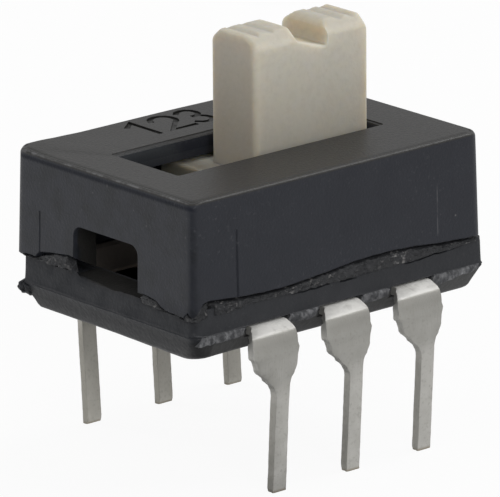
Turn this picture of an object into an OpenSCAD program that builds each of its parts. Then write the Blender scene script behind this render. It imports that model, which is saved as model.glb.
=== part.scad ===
// Ultraminiature two-pole, two-position slide switch on a 2.54 mm grid, in millimetres.
// The origin is the middle of the six terminal tips, on the plane the tips stand on.
// X runs along the slide, Y across it, Z up. The slide is shown at its +X end.

/* [Terminals] */
// Distance between neighbouring terminals along the body
pitch = 2.54; // [2.5:0.01:2.6]
// Distance between the two rows, middle to middle at the tips
row_gap = 7.62; // [7.55:0.01:7.7]
// Thickness of the terminal strip
lead_t = 0.24; // [0.2:0.01:0.26]
// Height of the strip's top face, level with the floor of the base
lead_top = 4.55; // [4.5:0.01:4.6]
// Width of the strip where it leaves the base
neck_w = 1.22; // [1.1:0.01:1.25]
// Width of a leg below the shoulder
leg_w = 0.47; // [0.42:0.01:0.5]
// Angle by which the legs lean inward from the shoulder to the tip
leg_lean = 3.5; // [2.5:0.1:4]
// Outer radius of the bend
bend_r = 0.68; // [0.6:0.01:0.7]

/* [Base] */
// Length of the base at its parting line
base_l = 10.24; // [10.2:0.01:10.3]
// Width of the base at its parting line
base_w = 6.94; // [6.9:0.01:7]
// Height of the underside of the base
base_bottom = 3.88; // [3.85:0.01:3.95]
// Height of the joint between base and housing
seam_z = 5.37; // [5.35:0.01:5.4]

/* [Housing] */
// Length of the top face
top_l = 10.12; // [10.05:0.01:10.15]
// Width of the top face
top_w = 7.16; // [7.1:0.01:7.2]
// Height of the top face
top_z = 8.27; // [8.2:0.01:8.3]
// Draft of each side wall
draft = 1.25; // [0.5:0.05:1.5]
// Radius of the upright corners
corner_r = 0.35; // [0.25:0.01:0.4]
// How far the housing sits off the middle of the base, along and across
housing_shift = [-0.09, 0.07]; // [-0.1:0.01:0.1]
// Thickness of the top plate
plate_t = 0.64; // [0.6:0.01:0.65]
// Length of the slot in the top plate
slot_l = 7.03; // [7:0.01:7.1]
// Width of the slot in the top plate
slot_w = 2.54; // [2.5:0.01:2.6]
// Width of the bevel round the slot
slot_bevel = 0.1; // [0.05:0.01:0.14]
// Width of the window in each end wall
window_w = 2.55; // [2.4:0.01:2.6]
// Height of the top of the windows
window_top = 6.64; // [6.5:0.01:6.7]

/* [Slide] */
// Length of the knob along the travel
knob_l = 3.95; // [3.9:0.01:4]
// Width of the knob across the travel
knob_w = 1.85; // [1.8:0.01:1.9]
// Height of the top of the knob
knob_top = 11.33; // [11:0.01:11.5]
// Travel from one position to the other
travel = 2.6; // [2.5:0.01:2.6]
// Width of the notch across the middle of the knob
notch_w = 1.16; // [1:0.01:1.3]
// Depth of the notch across the middle of the knob
notch_depth = 0.61; // [0.4:0.01:0.8]
// Depth of the grip grooves
groove_depth = 0.075; // [0.04:0.005:0.1]

/* [Hidden] */
$fn = 48;
eps = 0.01;
big = 20;

// Colours
black = [0.21, 0.215, 0.23];
base_black = [0.19, 0.195, 0.2];
ivory = [0.72, 0.69, 0.62];
tin = [0.72, 0.71, 0.68];
copper = [0.78, 0.52, 0.3];
steel = [0.6, 0.61, 0.63];

// Terminals
lead_bottom = lead_top - lead_t;
leg_out = row_gap / 2 + lead_t / 2;             // outer face of a leg at its tip
bend_z = lead_top - bend_r;                     // height of the bend's centre
bend_y = leg_out + bend_z * tan(leg_lean) - bend_r / cos(leg_lean);
pad_in = 0.9;                                   // inner end of a contact pad
wide_side = 1.0;                                // shoulder, from the leg's middle to its wide side
narrow_side = 0.44;                             // and to its narrow side
shoulder_z = 3.5;                               // where the shoulder starts to taper
taper_z = 2.9;                                  // where the taper meets the leg
ear = 0.1;                                      // stub of the cut tie bar on each side
ear_z = 3.86;

// Base
base_top_l = base_l - 0.15;
base_top_w = base_w - 0.09;
foot_l = base_l - 0.5;                          // outline just above the underside's rounded edge
foot_w = base_w - 0.5;
edge_round = 0.12;
base_corner = 0.15;
well_l = 8.1;                                   // well over the contact pads
well_w = 5.2;
ridge = 0.07;                                   // rough ridge left between the terminals
ridge_gap = 0.16;                               // gap from a ridge to the neck of a terminal

// Housing
wall_rise = top_z - seam_z;
skirt_l = top_l + 2 * wall_rise * tan(draft);
skirt_w = top_w + 2 * wall_rise * tan(draft);
ceiling_z = top_z - plate_t;
cavity_l = 8.7;
cavity_w = 5.66;
top_round = 0.07;
slot_r = 0.08;
window_y = -0.14;
window_r = 0.25;
bead_w = 0.1;
bead_h = 0.19;

// Slide
rest_x = travel / 2;
play = 0.05;
carriage_top = ceiling_z - play;
carriage_bottom = 5.5;
carriage_l = 5.42;
carriage_w = 4.5;
knob_round = 0.13;
shoulder_w = 0.36;                              // bevel along both sides of the knob's top
shoulder_h = 0.33;
groove_spacing = 0.5;
groove_start = 1.165;                           // first groove, from the middle of the knob
groove_r = (pow(groove_spacing / 2, 2) + pow(groove_depth, 2)) / (2 * groove_depth);
notch_round = 0.3;
contact_y = 1.55;
contact_w = 0.9;
contact_t = 0.12;
contact_low = lead_top + play;
contact_foot_r = 0.3;
contact_peak = 6.2;
pocket_l = 4;
pocket_w = contact_w + 0.2;
pocket_top = contact_peak + 0.1;
detent_z = 6.92;
detent_bore = 0.42;
ball_r = 0.4;
ball_y = 2.2;
spring_wire = 0.12;
spring_turns = 9;

// A flat plate with round corners, centred on the origin, from z up by h.
module rounded_plate(l, w, r, z, h) {
    translate([0, 0, z]) linear_extrude(h) rounded_outline(l, w, r);
}

module rounded_outline(l, w, r) {
    square([l - 2 * r, w], center = true);
    square([l, w - 2 * r], center = true);
    for (x = [-1, 1], y = [-1, 1])
        translate([x * (l / 2 - r), y * (w / 2 - r)]) circle(r);
}

// An outline drawn as x and z, swept across the switch by w.
module swept_across(w) {
    rotate([90, 0, 0]) translate([0, 0, -w / 2]) linear_extrude(w) children();
}

// An outline drawn as y and z, swept along the switch from x0 to x1.
module swept_along(x0, x1) {
    translate([x0, 0, 0]) rotate([90, 0, 90]) linear_extrude(x1 - x0) children();
}

// ---- Terminals -------------------------------------------------------------------------------

// Side view of one terminal: y outward, z up. Flat strip, bend, then the leaning leg.
module terminal_side() {
    translate([pad_in, lead_bottom]) square([bend_y - pad_in + eps, lead_t]);
    translate([bend_y, bend_z]) difference() {
        circle(bend_r);
        circle(bend_r - lead_t);
        translate([-2 * bend_r, -2 * bend_r]) square([2 * bend_r, 4 * bend_r]);
        rotate(-leg_lean) translate([-bend_r, -3 * bend_r]) square([4 * bend_r, 3 * bend_r]);
    }
    difference() {
        translate([bend_y, bend_z]) rotate(-leg_lean)
            translate([bend_r - lead_t, -1.2 * bend_z]) square([lead_t, 1.2 * bend_z + eps]);
        translate([0, -big]) square([big, big]);
    }
}

// Front view of one terminal: leg, one-sided shoulder, and the stubs of the cut tie bar.
module terminal_front() {
    polygon([[-leg_w / 2, -eps], [leg_w / 2, -eps], [leg_w / 2, taper_z + 0.16],
             [narrow_side, shoulder_z], [narrow_side + 0.2, lead_top + eps],
             [-wide_side, lead_top + eps], [-wide_side, shoulder_z + 0.3],
             [-wide_side + 0.12, shoulder_z], [-leg_w / 2 - 0.13, taper_z + 0.08],
             [-leg_w / 2, taper_z - 0.12]]);
    translate([-wide_side - ear, ear_z]) square([wide_side + narrow_side + 2 * ear, 0.12]);
}

// Top view of one terminal: the narrow neck in the base, flaring to the shoulder in the bend.
module terminal_plan() {
    half = neck_w / 2;
    polygon([[-half, 0], [half, 0], [half, base_w / 2], [narrow_side + 0.1, leg_out + 0.1], [narrow_side + ear, big],
             [-wide_side - ear, big], [-wide_side - ear, leg_out + 0.15], [-half, base_w / 2]]);
}

module terminal(column, side) {
    color(tin) rotate([0, 0, side > 0 ? 0 : 180]) translate([side * column * pitch, 0, 0])
        mirror([1, 0, 0]) intersection() {
            swept_along(-big / 2, big / 2) terminal_side();
            translate([0, big, 0]) rotate([90, 0, 0]) linear_extrude(big) terminal_front();
            linear_extrude(big) terminal_plan();
        }
}

// ---- Base ------------------------------------------------------------------------------------

// The rough ridges that stay between the terminals along one side of the parting line.
module ridges() {
    inner = neck_w / 2 + ridge_gap;
    spans = [[-base_l / 2 + 0.25, -pitch - inner], [-pitch + inner, -inner],
             [inner, pitch - inner], [pitch + inner, base_l / 2 - 0.18]];
    for (s = spans)
        translate([s[0], -base_w / 2 - ridge, lead_bottom]) cube([s[1] - s[0], 0.5, lead_t]);
}

module base_body() {
    hull() {
        rounded_plate(base_l, base_w, base_corner, lead_top - eps, eps);
        rounded_plate(base_top_l, base_top_w, base_corner, seam_z - eps, eps);
    }
    hull() {
        rounded_plate(base_l, base_w, base_corner, lead_top - eps, eps);
        rounded_plate(foot_l, foot_w, base_corner, base_bottom + edge_round, eps);
        rounded_plate(foot_l - 2 * edge_round, foot_w - 2 * edge_round, base_corner, base_bottom, eps);
    }
    for (a = [0, 180]) rotate([0, 0, a]) ridges();
    // stub of the moulding gate at one corner of the parting line
    translate([-base_l / 2, base_w / 2 - 0.3, lead_bottom - 0.03]) cube([0.45, 0.5, 0.27]);
}

module base() {
    color(base_black) difference() {
        base_body();
        translate([-well_l / 2, -well_w / 2, lead_top]) cube([well_l, well_w, big]);
        for (column = [-1:1], side = [-1, 1])
            translate([column * pitch - neck_w / 2, side > 0 ? pad_in : -big, lead_bottom])
                cube([neck_w, big - pad_in, lead_t]);
    }
}

// The weld bead squeezed out under the housing's overhang; it stops at the end windows.
module seam_bead() {
    color(base_black) difference() {
        rounded_plate(base_top_l + 2 * bead_w, base_top_w + 2 * bead_w, base_corner, seam_z - bead_h, bead_h);
        hull() {
            rounded_plate(base_l, base_w, base_corner, lead_top - eps, eps);
            rounded_plate(base_top_l, base_top_w, base_corner, seam_z - eps, 2 * eps);
        }
        translate([-big / 2, window_y + housing_shift[1] - window_w / 2, 0]) cube([big, window_w, big]);
    }
}

// ---- Housing ---------------------------------------------------------------------------------

module housing_shell() {
    hull() {
        rounded_plate(skirt_l, skirt_w, corner_r, seam_z, eps);
        rounded_plate(top_l, top_w, corner_r, top_z - top_round - eps, eps);
        rounded_plate(top_l - 2 * top_round, top_w - 2 * top_round, corner_r - top_round, top_z - eps, eps);
    }
}

// Window in an end wall: round upper corners, open downward to the base.
module window_outline() {
    rise = window_top - seam_z;
    translate([-window_w / 2, seam_z - 1]) square([window_w, rise + 1 - window_r]);
    translate([-window_w / 2 + window_r, seam_z - 1]) square([window_w - 2 * window_r, rise + 1]);
    for (s = [-1, 1])
        translate([s * (window_w / 2 - window_r), window_top - window_r]) circle(window_r);
}

module housing() {
    color(black) translate([housing_shift[0], housing_shift[1], 0]) difference() {
        housing_shell();
        rounded_plate(cavity_l, cavity_w, 0.3, seam_z - 1, ceiling_z - seam_z + 1);
        rounded_plate(slot_l, slot_w, slot_r, ceiling_z - 1, big);
        hull() {
            rounded_plate(slot_l, slot_w, slot_r, top_z - slot_bevel, eps);
            rounded_plate(slot_l + 4 * slot_bevel, slot_w + 4 * slot_bevel, slot_r, top_z + slot_bevel, eps);
        }
        translate([0, window_y, 0]) swept_along(-big / 2, big / 2) window_outline();
        // resting places of the detent balls
        for (x = [-rest_x, rest_x], y = [-1, 1])
            translate([x - housing_shift[0], y * (cavity_w / 2 - 0.28), detent_z - 0.6]) cylinder(r = 0.4, h = 1.2);
    }
}

// ---- Slide -----------------------------------------------------------------------------------

// Side view of the knob: grip grooves on both lobes, a notch with round corners between them.
module knob_side() {
    difference() {
        translate([-knob_l / 2, carriage_top - 0.2]) square([knob_l, knob_top - carriage_top + 0.2]);
        for (s = [-1, 1], i = [0, 1])
            translate([s * (groove_start + i * groove_spacing), knob_top - groove_depth + groove_r])
                circle(groove_r);
        translate([-notch_w / 2, knob_top - notch_depth + notch_round]) square([notch_w, big]);
        translate([-notch_w / 2 + notch_round, knob_top - notch_depth])
            square([notch_w - 2 * notch_round, big]);
        for (s = [-1, 1])
            translate([s * (notch_w / 2 - notch_round), knob_top - notch_depth + notch_round])
                circle(notch_round);
    }
}

// End view of the knob: a bevel along each long top edge.
module knob_end() {
    half = knob_w / 2;
    polygon([[-half, 0], [half, 0], [half, knob_top - shoulder_h], [half - shoulder_w, knob_top],
             [shoulder_w - half, knob_top], [-half, knob_top - shoulder_h]]);
}

module knob() {
    intersection() {
        swept_across(knob_w) knob_side();
        swept_along(-knob_l / 2, knob_l / 2) knob_end();
        rounded_plate(knob_l, knob_w, knob_round, 0, big);
    }
}

module carriage() {
    difference() {
        rounded_plate(carriage_l, carriage_w, 0.2, carriage_bottom, carriage_top - carriage_bottom);
        for (y = [-contact_y, contact_y])
            translate([-pocket_l / 2, y - pocket_w / 2, carriage_bottom - 1])
                cube([pocket_l, pocket_w, pocket_top - carriage_bottom + 1]);
        translate([0, big / 2, detent_z]) rotate([90, 0, 0]) cylinder(r = detent_bore, h = big);
    }
}

module actuator() {
    color(ivory) translate([rest_x, 0, 0]) {
        knob();
        carriage();
    }
}

// A straight piece of contact strip between two points of its side view.
module strip(a, b) {
    run = b - a;
    translate(a) rotate(atan2(run[1], run[0])) {
        translate([0, -contact_t / 2]) square([norm(run), contact_t]);
        circle(contact_t / 2);
        translate([norm(run), 0]) circle(contact_t / 2);
    }
}

// Spring clip that bridges two neighbouring pads: two rounded feet and a raised middle.
module moving_contact(side) {
    foot_z = contact_low + contact_foot_r;
    peak_z = contact_peak - contact_t / 2;
    color(copper) translate([rest_x, side * contact_y, 0]) swept_across(contact_w) {
        strip([-0.3, peak_z], [0.3, peak_z]);
        for (s = [-1, 1]) {
            translate([s * pitch / 2, foot_z]) difference() {
                circle(contact_foot_r);
                circle(contact_foot_r - contact_t);
                translate([-1, 0]) square([2, 1]);
            }
            strip([s * (pitch / 2 - contact_foot_r + contact_t / 2), foot_z], [s * 0.3, peak_z]);
            strip([s * (pitch / 2 + contact_foot_r - contact_t / 2), foot_z],
                  [s * (pitch / 2 + contact_foot_r + 0.12), foot_z + 0.55]);
        }
    }
}

module detent_ball(side) {
    color(steel) translate([rest_x, side * ball_y, detent_z]) sphere(ball_r);
}

// Closely wound compression spring between the balls, drawn as its stack of turns.
module detent_spring() {
    length = 2 * (ball_y - ball_r) - 0.02;
    step = (length - spring_wire) / (spring_turns - 1);
    color(steel) translate([rest_x, 0, detent_z]) rotate([90, 0, 0]) {
        for (i = [0:spring_turns - 1])
            translate([0, 0, -length / 2 + spring_wire / 2 + i * step])
                rotate_extrude() translate([0.25, 0]) circle(spring_wire / 2, $fn = 16);
        // the wire's run from turn to turn
        translate([0.25, 0, -length / 2 + spring_wire / 2])
            cylinder(r = spring_wire / 3, h = length - spring_wire, $fn = 16);
    }
}

housing();
base();
seam_bead();
terminal(-1, -1);  // terminal_1
terminal(0, -1);  // terminal_2
terminal(1, -1);  // terminal_3
terminal(-1, 1);  // terminal_4
terminal(0, 1);  // terminal_5
terminal(1, 1);  // terminal_6
actuator();
moving_contact(-1);  // moving_contact_1
moving_contact(1);  // moving_contact_2
detent_spring();
detent_ball(-1);  // detent_ball_1
detent_ball(1);  // detent_ball_2
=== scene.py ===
import math

import bmesh
import bpy
from mathutils import Matrix, Vector, noise


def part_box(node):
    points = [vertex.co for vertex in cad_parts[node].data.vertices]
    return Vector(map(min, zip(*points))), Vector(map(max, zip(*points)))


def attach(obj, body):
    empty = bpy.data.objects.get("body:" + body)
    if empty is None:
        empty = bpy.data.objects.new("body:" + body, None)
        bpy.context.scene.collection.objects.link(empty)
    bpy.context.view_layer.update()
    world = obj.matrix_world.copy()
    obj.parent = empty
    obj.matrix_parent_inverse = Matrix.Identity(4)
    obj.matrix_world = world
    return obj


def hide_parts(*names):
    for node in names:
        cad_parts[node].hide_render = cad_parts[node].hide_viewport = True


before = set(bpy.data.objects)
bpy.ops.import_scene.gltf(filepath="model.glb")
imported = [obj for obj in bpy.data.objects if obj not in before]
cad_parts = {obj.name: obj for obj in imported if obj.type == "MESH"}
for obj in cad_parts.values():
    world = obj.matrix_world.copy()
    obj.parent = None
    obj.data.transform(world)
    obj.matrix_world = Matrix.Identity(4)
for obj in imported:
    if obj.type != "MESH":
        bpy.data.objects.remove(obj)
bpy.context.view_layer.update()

# ---- Housing ----
# The upper half of the case: a box moulded in black nylon, open below, with a slot in its top for
# the knob and a window in each end wall. It is welded to the base, which has left its lower edge
# wavy, and it carries the numbers 1 to 3 on top.
mm = 0.001
housing_low, housing_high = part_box("housing")
housing_middle = (housing_low + housing_high) / 2
housing_half = (housing_high - housing_low) / 2
top = housing_high.z
weld_height = housing_low.z
wall_draft = math.radians(1.25)
edge_fillet = 0.085 * mm
slot_left, slot_right, slot_near, slot_far = -3.615 * mm, 3.5 * mm, -1.37 * mm, 1.205 * mm
cavity_half = Vector((4.35, 2.83)) * mm
ceiling = top - 0.57 * mm


def oblong(half_l, half_w, corner, along=56, across=38, bend=6):
    """Points round an oblong, anticlockwise from its near left corner. It has one corner radius, or four."""
    radii = corner if isinstance(corner, tuple) else (corner,) * 4
    signs = ((-1, -1), (1, -1), (1, 1), (-1, 1))
    arcs = []
    for k, (sx, sy) in enumerate(signs):
        middle = Vector((sx * (half_l - radii[k]), sy * (half_w - radii[k])))
        turns = [math.radians(180 + 90 * k + 90 * i / bend) for i in range(bend + 1)]
        arcs.append([middle + radii[k] * Vector((math.cos(a), math.sin(a))) for a in turns])
    points = []
    for k, steps in enumerate((along, across, along, across)):
        start, end = arcs[k][-1], arcs[(k + 1) % 4][0]
        points += arcs[k] + [start.lerp(end, i / steps) for i in range(1, steps)]
    return points


def ring(half_l, half_w, corner, height, about=Vector((0, 0)), **steps):
    """One level ring of a moulding. Height is a number, or a rule that gives it from x and y."""
    points = []
    for p in oblong(half_l, half_w, corner, **steps):
        x, y = p.x + about[0], p.y + about[1]
        points.append(Vector((x, y, height(x, y) if callable(height) else height)))
    return points


def band(bm, a, b):
    """Faces all round between two rings of equal count."""
    for i in range(len(a)):
        j = (i + 1) % len(a)
        bm.faces.new((a[i], a[j], b[j], b[i]))


def skin(rings, closed=False):
    """A mesh through rings of equal count. The first and last are joined, or each is filled in."""
    bm = bmesh.new()
    rows = [[bm.verts.new(p) for p in points] for points in rings]
    for a, b in zip(rows, rows[1:]):
        band(bm, a, b)
    if closed:
        band(bm, rows[-1], rows[0])
    else:
        bm.faces.new(reversed(rows[0]))
        bm.faces.new(rows[-1])
    bmesh.ops.recalc_face_normals(bm, faces=bm.faces)
    return bm


def placed(name, data):
    """Puts a mesh, a lamp or a camera into the scene."""
    made = bpy.data.objects.new(name, data)
    bpy.context.scene.collection.objects.link(made)
    return made


def as_object(name, bm):
    """Turns a finished mesh into a piece of the scene."""
    mesh = bpy.data.meshes.new(name)
    bm.to_mesh(mesh)
    bm.free()
    return placed(name, mesh)


def cut(made, tools, operation="DIFFERENCE"):
    """Cuts each tool out of a piece, or joins it on, and throws the tools away."""
    for tool in tools:
        step = made.modifiers.new("cut", "BOOLEAN")
        step.solver = "EXACT"
        step.operation = operation
        step.object = tool
        bpy.context.view_layer.update()
        result = bpy.data.meshes.new_from_object(made.evaluated_get(bpy.context.evaluated_depsgraph_get()))
        made.modifiers.clear()
        old, made.data = made.data, result
        bpy.data.meshes.remove(old)
        bpy.data.objects.remove(tool)
    made.data.name = made.name
    return made


def fit(made, body, slot, material, *nodes, crease=32):
    """Gives a piece its finish and its place: the body it rides on and the solids it stands for. Its slot is
    not used.
    """
    made.data.materials.clear()
    made.data.materials.append(material)
    made.data.polygons.foreach_set("material_index", [0] * len(made.data.polygons))
    made.data.shade_smooth()
    made.data.set_sharp_from_angle(angle=math.radians(crease))
    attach(made, body)
    if nodes:
        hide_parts(*nodes)
    return made


def swell(x, middle, width):
    """A smooth hump of height 1 at the middle, gone at one width from it."""
    d = min(1, abs(x - middle) / width)
    return 1 - d * d * (3 - 2 * d)


def between(points, at):
    """Smooth value at a place between (place, value) points, whose places rise."""
    if at <= points[0][0]:
        return points[0][1]
    for (a, va), (b, vb) in zip(points, points[1:]):
        if at <= b:
            t = (at - a) / (b - a)
            return va + (vb - va) * t * t * (3 - 2 * t)
    return points[-1][1]


# height of the weld along the left end, from the near side to the far one
left_weld = [(-3.5, 5.14), (-2.9, 5.15), (-2.4, 5.19), (-2.15, 5.35), (-1.6, 5.43), (-1.3, 5.4), (1.1, 5.7),
             (1.3, 5.8), (1.8, 5.74), (2.4, 5.66), (2.76, 5.59), (2.84, 5.45), (3.5, 5.43)]


def ripple(x, y, size, layer=0.0):
    """Uneven height, the same at one place each time: about -1 to 1, in lumps of the given size."""
    return noise.noise(Vector((x, y, layer * mm)) / (size * mm))


def from_corner(x, y):
    """Distance to the nearest corner of the housing."""
    return (Vector((abs(x - housing_middle.x), abs(y - housing_middle.y))) - Vector(housing_half.xy)).length


def weld_line(x, y):
    """Height of the housing's wavy lower edge."""
    side = abs(y - housing_middle.y) > housing_half.y - 0.2 * mm
    if side and y < 0:
        line = 5.515 + 0.105 * math.cos(2 * math.pi * (x / mm - 1.3) / 7.2)
    elif side:
        line = 5.47 + 0.07 * math.cos(2 * math.pi * (x / mm + 0.8) / 5.9)
    elif x < 0:
        line = between(left_weld, y / mm)
    else:
        line = 5.43 + 0.05 * math.cos(2 * math.pi * (y / mm - 0.6) / 4.1)
    near = swell(from_corner(x, y), 0, 0.5 * mm)
    foot = 5.14 if x < 0 and y < 0 else 5.36
    flutter = 0.02 * ripple(x, y, 0.35) + 0.012 * ripple(x, y, 0.09)
    return mm * (line * (1 - near) + foot * near + flutter)


def corner_fall(x, y):
    """How far the top has sunk here, close to its four corners. It stands up a little at the rear left."""
    rear_edge = [(-5.0, 0.06), (-4.4, 0.06), (-3.7, 0.035), (-2.9, 0.016), (0, 0.022), (1.8, 0.008),
                 (4.9, -0.02)]
    proud = between(rear_edge, x / mm) * mm * swell(y, housing_high.y, 1.4 * mm)
    most = 0.29 * mm if x < 0 < y else 0.17 * mm
    return most * max(0, 1 - from_corner(x, y) / (0.5 * mm)) ** 2 - proud


def wall_ring(height, inset=0.0, level=None, fall=0.0):
    """One ring of the housing's outer wall, drawn in by the draft and by its inset."""
    lean = (height - weld_height) * math.tan(wall_draft) + inset
    corners = tuple(max(r * mm - inset, 0.07 * mm) for r in (0.2, 0.35, 0.35, 0.35))
    return ring(housing_half.x - lean, housing_half.y - lean, corners,
                level or (lambda x, y: height - fall * corner_fall(x, y)), housing_middle)


def rounded_up(x, y):
    """Just above the wavy edge, where its small rounding ends."""
    return weld_line(x, y) + 0.03 * mm


housing_rings = [wall_ring(weld_height, 0.03 * mm, weld_line), wall_ring(weld_height, 0, rounded_up)]
for share, fall in ((0.25, 0), (0.4, 0), (0.6, 0), (0.8, 0), (0.88, 0.15), (0.94, 0.5), (0.98, 0.8)):
    housing_rings.append(wall_ring(weld_height + share * (top - edge_fillet - weld_height), fall=fall))
for i in range(7):
    a = math.radians(15 * i)
    inset = edge_fillet * (1 - math.cos(a))
    housing_rings.append(wall_ring(top - edge_fillet * (1 - math.sin(a)), inset, fall=1))
# just inside the left and near edges a shallow groove runs along the rim
for inset, dip in ((0.01, 0.0), (0.025, 0.006), (0.045, 0.015), (0.07, 0.01),
                   (0.1, 0.0), (0.2, 0.0), (0.32, 0.0), (0.5, 0.0)):
    def dipped(x, y, dip=dip):
        edge = x < housing_low.x + 0.4 * mm or y < housing_low.y + 0.4 * mm
        return top - corner_fall(x, y) - dip * mm * edge
    housing_rings.append(wall_ring(top, edge_fillet + inset * mm, dipped))
# the slot: plain edges to the left and near sides, a shallow step along the far and right ones
for out, height in ((1.0, top), (0.95, top - 0.008 * mm), (0.9, top - 0.03 * mm), (0.3, top - 0.04 * mm),
                    (0.12, top - 0.07 * mm), (0.04, top - 0.13 * mm), (0.0, top - 0.25 * mm), (0.0, ceiling)):
    far, right = slot_far + 0.2 * mm * out, slot_right + 0.12 * mm * out
    middle = housing_middle.xy + Vector((right + slot_left, far + slot_near)) / 2
    half_l, half_w = (right - slot_left) / 2, (far - slot_near) / 2
    housing_rings.append(ring(half_l, half_w, 0.06 * mm + 0.04 * mm * out, height, middle))
for height in (ceiling, weld_height):
    housing_rings.append(ring(cavity_half.x, cavity_half.y, 0.3 * mm, height, housing_middle))
housing = as_object("housing_moulding", skin(housing_rings, closed=True))


window_half, window_head = 1.275 * mm, 6.64 * mm


def window_mouth(reach, wider, round_off):
    """The window's outline on one upright plane, from a foot well below the housing."""
    half_w, head, foot = window_half + wider, window_head + wider, weld_height - 1 * mm
    points = [(-half_w, foot), (half_w, foot)]
    for side, turn in ((1, 0), (-1, 90)):
        for i in range(7):
            a = math.radians(turn + 15 * i)
            across = side * (half_w - round_off) + round_off * math.cos(a)
            points.append((across, head - round_off + round_off * math.sin(a)))
    off_middle = housing_middle.y - 0.14 * mm
    return [Vector((reach, off_middle + y, z)) for y, z in points]


# both windows, from outside in: each widens a little where it leaves the wall
tools = []
for end in (-1, 1):
    face = housing_middle.x + end * (housing_half.x - 0.03 * mm)
    mouth = [window_mouth(face + end * out * mm, wider * mm, bend * mm)
             for out, wider, bend in ((0.2, 0.12, 0.3), (0, 0.03, 0.28), (-0.08, 0, 0.25), (-1.5, 0, 0.25))]
    tools.append(as_object("window_tool", skin(mouth)))


def seam(x, y, low, high, deep, wide=0.05):
    """A cutter for an upright groove where two inserts of the mould met: on a side, or on the left end."""
    # along the face, and out of it: a bar that stands proud and comes to a point under the surface
    section = ((-wide, 0.1), (wide, 0.1), (wide / 2, 0), (0, -deep), (-wide / 2, 0))
    levels = []
    for z in (low * mm, high * mm):
        drawn_in = (z - weld_height) * math.tan(wall_draft)
        if x is None:
            face = housing_low.x + drawn_in
            levels.append([Vector((face - out * mm, (y + aside) * mm, z)) for aside, out in section])
        else:
            face, away = y + math.copysign(drawn_in, -y), math.copysign(1, y)
            levels.append([Vector(((x + aside) * mm, face + out * mm * away, z)) for aside, out in section])
    return as_object("seam_bar", skin(levels))


near_face, far_face = housing_low.y, housing_high.y
tools += [seam(-3.65, near_face, 5.2, 7.3, 0.022, 0.07), seam(-3.6, far_face, 5.3, 7.3, 0.04),
          seam(3.37, far_face, 5.3, 6.25, 0.04), seam(None, 2.62, 5.3, 6.75, 0.025, 0.06)]


def engraving(strokes, left, lower, size, pen, depth):
    """Cutters for one numeral: a ribbon of even width along each stroke, sunk in the top face."""
    made = []
    for line in strokes:
        line = [Vector(p) * size + Vector((left, lower)) for p in line]
        sides = [[], []]
        for i, p in enumerate(line):
            before = (p - line[i - 1]).normalized() if i else (line[1] - p).normalized()
            after = (line[i + 1] - p).normalized() if i + 1 < len(line) else before
            along = (before + after).normalized()
            across = Vector((-along.y, along.x)) * pen / 2 / max(0.5, along.dot(before))
            stretch = along * pen / 2 * ((i + 1 == len(line)) - (i == 0))
            sides[0].append(p + across + stretch)
            sides[1].append(p - across + stretch)
        outline = sides[0] + sides[1][::-1]
        levels = [[Vector((p.x, p.y, z)) for p in outline] for z in (top - depth, top + depth)]
        made.append(as_object("numeral_tool", skin(levels)))
    return made


def arc(cx, cy, r, start, stop, steps=8):
    """Points on part of a circle, from one angle to another."""
    turns = [math.radians(start + (stop - start) * i / steps) for i in range(steps + 1)]
    return [(cx + r * math.cos(a), cy + r * math.sin(a)) for a in turns]


numerals = {
    "1": [[(0.15, 0.78), (0.42, 1.0), (0.42, 0.0)]],
    "2": [arc(0.35, 0.7, 0.3, 165, -35) + [(0.05, 0.0), (0.7, 0.0)]],
    "3": [arc(0.33, 0.75, 0.25, 150, -90), arc(0.33, 0.25, 0.25, 90, -150)],
}
for i, numeral in enumerate("123"):
    left = (0.92 * i - 1.95) * mm
    tools += engraving(numerals[numeral], left, 2.12 * mm, 1.2 * mm, 0.17 * mm, 0.03 * mm)
cut(housing, tools)


def feed(value, goal):
    """Links an output to an input of the same material or effect."""
    goal.id_data.links.new(value, goal)


def node(tree, kind, inputs, **settings):
    """Adds a shader node. Each input is a value, or the output of another node that feeds it."""
    made = tree.nodes.new("ShaderNode" + kind)
    for name, value in settings.items():
        setattr(made, name, value)
    for name, value in inputs.items():
        if isinstance(value, bpy.types.NodeSocket):
            feed(value, made.inputs[name])
        else:
            made.inputs[name].default_value = value
    return made


def maths(operation, *values):
    """One step of arithmetic. The first value comes from another node."""
    return node(values[0].id_data, "Math", dict(enumerate(values)), operation=operation).outputs["Value"]


def times(product, *shares):
    """The product of masks and plain shares."""
    for share in shares:
        product = maths("MULTIPLY", product, share)
    return product


def ranged(value, start=0.0, stop=1.0, least=0.0, most=1.0):
    """Takes a value from the range start to stop into the range least to most, and no further."""
    limits = {"Value": value, "From Min": start, "From Max": stop, "To Min": least, "To Max": most}
    return node(value.id_data, "MapRange", limits).outputs["Result"]


def cloudy(place, scale, detail=2):
    """Noise at a place, as a value and as a colour."""
    return node(place.id_data, "TexNoise", {"Vector": place, "Scale": scale, "Detail": detail}).outputs


def patchy(place, per_mm, low, high, detail=3):
    """Soft-edged patches of noise: 0 where it is under low, 1 where it is over high."""
    return ranged(cloudy(place, per_mm, detail)["Fac"], low, high)


def on_object(tree):
    """The place on the object, which stays with it as it moves."""
    return node(tree, "TexCoord", {}).outputs["Object"]


def in_millimetres(tree):
    """The same place, in millimetres."""
    return node(tree, "VectorMath", {0: on_object(tree), "Scale": 1 / mm}, operation="SCALE").outputs[0]


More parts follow.
